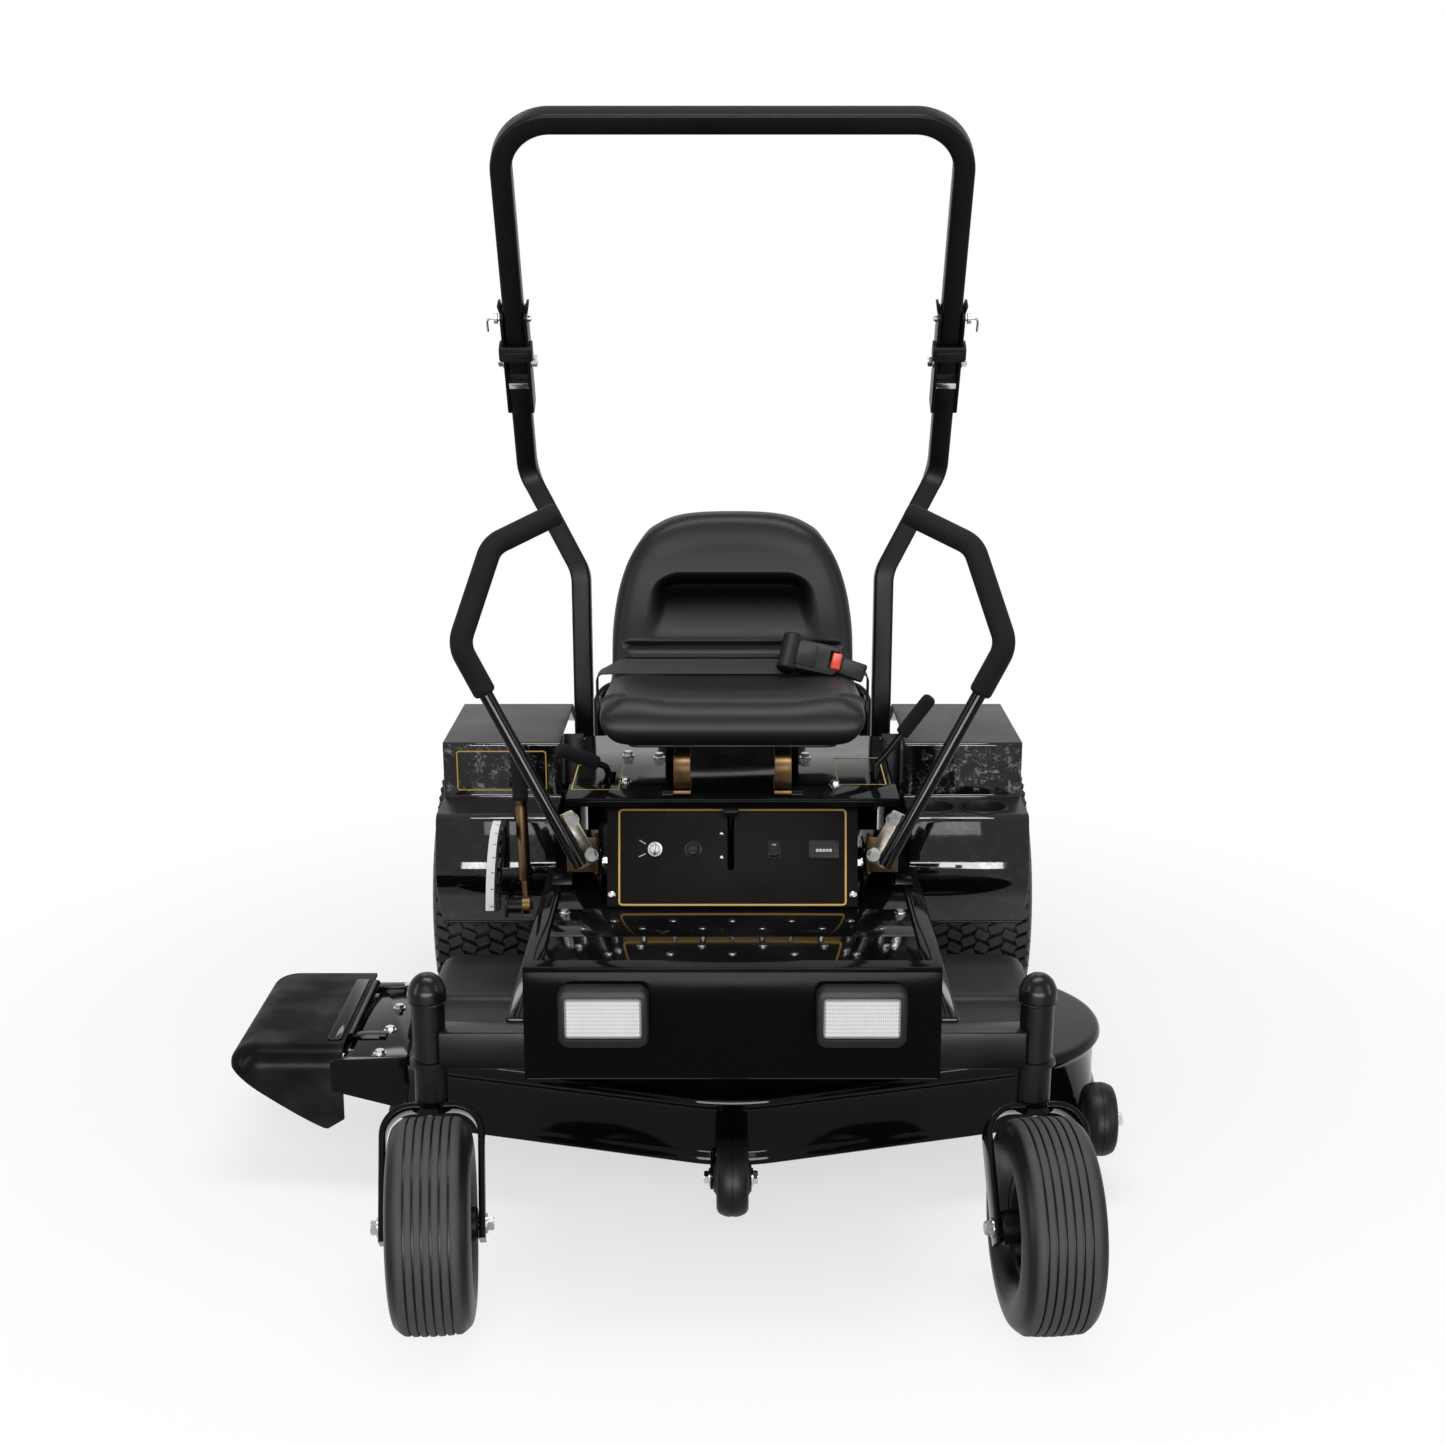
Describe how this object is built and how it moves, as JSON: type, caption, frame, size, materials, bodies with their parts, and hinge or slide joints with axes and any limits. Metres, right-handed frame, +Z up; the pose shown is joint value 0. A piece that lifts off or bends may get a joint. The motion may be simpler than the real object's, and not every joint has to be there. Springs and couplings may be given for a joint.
{
  "type": "riding lawn mower",
  "caption": "Zero-turn riding lawn mower with a folding roll-bar, swing-out control levers, caster front wheels and a mid-mounted cutting deck with a side chute.",
  "frame": {"origin": "on the ground, under the middle of the rear axle", "axes": "+Z up, -Y the way the mower faces, +X to the driver's left"},
  "size_m": [1.5493, 2.0867, 1.825],
  "materials": {
    "gloss_black_paint": "gloss black powder coat",
    "matte_black_paint": "satin black powder coat",
    "black_plastic": "fine-grained moulded black plastic",
    "tyre_rubber": "matt black tyre rubber",
    "soft_rubber": "black foam and moulded rubber",
    "seat_vinyl": "dark grey grained vinyl",
    "yellow_zinc": "yellow zinc plate",
    "steel": "bare or zinc-plated steel",
    "cast_aluminium": "as-cast aluminium",
    "lens": "clear ribbed lens",
    "webbing": "woven black webbing",
    "red_plastic": "smooth red plastic"
  },
  "bodies": {
    "frame": {"main_frame": "gloss_black_paint", "caster_beam": "gloss_black_paint", "front_panel": "gloss_black_paint", "headlight_left": "black_plastic", "headlight_right": "black_plastic", "headlight_lens_left": "lens", "headlight_lens_right": "lens", "footplate": "gloss_black_paint", "console_panel": "gloss_black_paint", "seat_box": "gloss_black_paint", "fender_left": "gloss_black_paint", "fender_right": "gloss_black_paint", "rops_post_left": "matte_black_paint", "rops_post_right": "matte_black_paint", "engine_block": "cast_aluminium", "blower_housing": "black_plastic", "muffler": "steel", "fuel_tank": "black_plastic", "transaxle_left": "cast_aluminium", "transaxle_right": "cast_aluminium"},
    "deck": {"deck_shell": "gloss_black_paint", "belt_cover_left": "black_plastic", "belt_cover_right": "black_plastic"},
    "chute": {"discharge_chute": "soft_rubber"},
    "blade_center_body": {"blade_center": "steel"},
    "blade_left_body": {"blade_left": "steel"},
    "blade_right_body": {"blade_right": "steel"},
    "scalp_front": {"anti_scalp_wheel_front": "black_plastic"},
    "scalp_side": {"anti_scalp_wheel_side": "black_plastic"},
    "height": {"height_lever": "yellow_zinc"},
    "brake": {"parking_brake_lever": "matte_black_paint"},
    "engage": {"blade_engage_lever": "matte_black_paint"},
    "throttle": {"throttle_lever": "black_plastic"},
    "choke": {"choke_knob": "black_plastic"},
    "key": {"ignition_key": "steel"},
    "rocker": {"light_switch": "black_plastic"},
    "seat_assembly": {"seat": "seat_vinyl", "seat_frame": "yellow_zinc", "lap_belt": "webbing", "belt_buckle": "black_plastic"},
    "button": {"buckle_button": "red_plastic"},
    "hoop": {"rops_hoop": "matte_black_paint"},
    "caster_left": {"caster_fork_left": "gloss_black_paint"},
    "caster_wheel_left": {"caster_tyre_left": "tyre_rubber", "caster_rim_left": "matte_black_paint"},
    "rear_wheel_left": {"rear_tyre_left": "tyre_rubber", "rear_rim_left": "matte_black_paint"},
    "yoke_left": {"lever_yoke_left": "yellow_zinc"},
    "lever_left": {"control_lever_left": "matte_black_paint", "lever_grip_left": "soft_rubber"},
    "pin_left": {"rops_pin_left": "steel"},
    "caster_right": {"caster_fork_right": "gloss_black_paint"},
    "caster_wheel_right": {"caster_tyre_right": "tyre_rubber", "caster_rim_right": "matte_black_paint"},
    "rear_wheel_right": {"rear_tyre_right": "tyre_rubber", "rear_rim_right": "matte_black_paint"},
    "yoke_right": {"lever_yoke_right": "yellow_zinc"},
    "lever_right": {"control_lever_right": "matte_black_paint", "lever_grip_right": "soft_rubber"},
    "pin_right": {"rops_pin_right": "steel"}
  },
  "joints": [
    {"name": "caster_swivel_left", "type": "hinge", "parent": "frame", "child": "caster_left", "pos_m": [0.465, -1.19, 0], "axis": [0, 0, 1], "continuous": true},
    {"name": "caster_spin_left", "type": "hinge", "parent": "caster_left", "child": "caster_wheel_left", "pos_m": [0.47459, -1.29958, 0.165], "axis": [0.9962, 0.0872, 0], "continuous": true},
    {"name": "rear_spin_left", "type": "hinge", "parent": "frame", "child": "rear_wheel_left", "pos_m": [0.48, 0, 0.279], "axis": [1, 0, 0], "continuous": true},
    {"name": "lever_drive_left", "type": "hinge", "parent": "frame", "child": "yoke_left", "pos_m": [0.252, -0.56, 0.515], "axis": [1, 0, 0], "range_deg": [-10, 20], "stiffness_Nm_per_rad": 20},
    {"name": "lever_swing_left", "type": "hinge", "parent": "yoke_left", "child": "lever_left", "pos_m": [0.27, -0.632, 0.55], "axis": [0, -1, 0], "range_deg": [0, 18]},
    {"name": "lock_pin_left", "type": "slide", "parent": "hoop", "child": "pin_left", "axis": [1, 0, 0], "range_m": [0, 0.062]},
    {"name": "caster_swivel_right", "type": "hinge", "parent": "frame", "child": "caster_right", "pos_m": [-0.465, -1.19, 0], "axis": [0, 0, 1], "continuous": true},
    {"name": "caster_spin_right", "type": "hinge", "parent": "caster_right", "child": "caster_wheel_right", "pos_m": [-0.45541, -1.29958, 0.165], "axis": [0.9962, 0.0872, 0], "continuous": true},
    {"name": "rear_spin_right", "type": "hinge", "parent": "frame", "child": "rear_wheel_right", "pos_m": [-0.48, 0, 0.279], "axis": [1, 0, 0], "continuous": true},
    {"name": "lever_drive_right", "type": "hinge", "parent": "frame", "child": "yoke_right", "pos_m": [-0.252, -0.56, 0.515], "axis": [1, 0, 0], "range_deg": [-10, 20], "stiffness_Nm_per_rad": 20},
    {"name": "lever_swing_right", "type": "hinge", "parent": "yoke_right", "child": "lever_right", "pos_m": [-0.27, -0.632, 0.55], "axis": [0, 1, 0], "range_deg": [0, 18]},
    {"name": "lock_pin_right", "type": "slide", "parent": "hoop", "child": "pin_right", "axis": [-1, 0, 0], "range_m": [0, 0.062]},
    {"name": "deck_lift", "type": "slide", "parent": "frame", "child": "deck", "axis": [0, 0, 1], "range_m": [-0.065, 0]},
    {"name": "height_set", "type": "hinge", "parent": "frame", "child": "height", "pos_m": [-0.392, -0.4, 0.38], "axis": [1, 0, 0], "range_deg": [0, 70]},
    {"name": "chute_hinge", "type": "hinge", "parent": "deck", "child": "chute", "pos_m": [-0.668, -0.63, 0.258], "axis": [0, 1, 0], "range_deg": [0, 75]},
    {"name": "blade_center_spin", "type": "hinge", "parent": "deck", "child": "blade_center_body", "pos_m": [0, -0.77, 0.14], "axis": [0, 0, 1], "continuous": true},
    {"name": "blade_left_spin", "type": "hinge", "parent": "deck", "child": "blade_left_body", "pos_m": [0.42, -0.64, 0.14], "axis": [0, 0, 1], "continuous": true},
    {"name": "blade_right_spin", "type": "hinge", "parent": "deck", "child": "blade_right_body", "pos_m": [-0.42, -0.64, 0.14], "axis": [0, 0, 1], "continuous": true},
    {"name": "scalp_front_spin", "type": "hinge", "parent": "deck", "child": "scalp_front", "pos_m": [0, -1.07, 0.135], "axis": [1, 0, 0], "continuous": true},
    {"name": "scalp_side_spin", "type": "hinge", "parent": "deck", "child": "scalp_side", "pos_m": [0.635, -0.84, 0.135], "axis": [1, 0, 0], "continuous": true},
    {"name": "brake_set", "type": "hinge", "parent": "frame", "child": "brake", "pos_m": [0.263, -0.45, 0.6], "axis": [1, 0, 0], "range_deg": [-25, 0]},
    {"name": "blade_engage", "type": "hinge", "parent": "frame", "child": "engage", "pos_m": [-0.228, -0.45, 0.6], "axis": [1, 0, 0], "range_deg": [-25, 0]},
    {"name": "throttle_set", "type": "hinge", "parent": "frame", "child": "throttle", "pos_m": [-0.003, -0.51096, 0.53549], "axis": [1, 0, 0], "range_deg": [0, 54]},
    {"name": "choke_pull", "type": "slide", "parent": "frame", "child": "choke", "axis": [0, -0.9489, 0.3156], "range_m": [0, 0.03]},
    {"name": "key_turn", "type": "hinge", "parent": "frame", "child": "key", "pos_m": [-0.139, -0.59568, 0.55103], "axis": [0, -0.9489, 0.3156], "range_deg": [0, 90]},
    {"name": "light_rocker", "type": "hinge", "parent": "frame", "child": "rocker", "pos_m": [0.0745, -0.58496, 0.54746], "axis": [1, 0, 0], "range_deg": [0, 16]},
    {"name": "seat_tilt", "type": "hinge", "parent": "frame", "child": "seat_assembly", "pos_m": [0, -0.583, 0.6515], "axis": [1, 0, 0], "range_deg": [0, 50]},
    {"name": "buckle_press", "type": "slide", "parent": "seat_assembly", "child": "button", "axis": [-1, 0, 0], "range_m": [0, 0.004], "stiffness_N_per_m": 400},
    {"name": "roll_bar_fold", "type": "hinge", "parent": "frame", "child": "hoop", "pos_m": [0, 0.075, 1.363], "axis": [-1, 0, 0], "range_deg": [0, 110]}
  ],
  "couplings": [
    {"joint": "height_set", "follows": "deck_lift", "rad_per_m": -18.79},
    {"joint": "blade_left_spin", "follows": "blade_center_spin", "ratio": 1},
    {"joint": "blade_right_spin", "follows": "blade_center_spin", "ratio": 1}
  ]
}
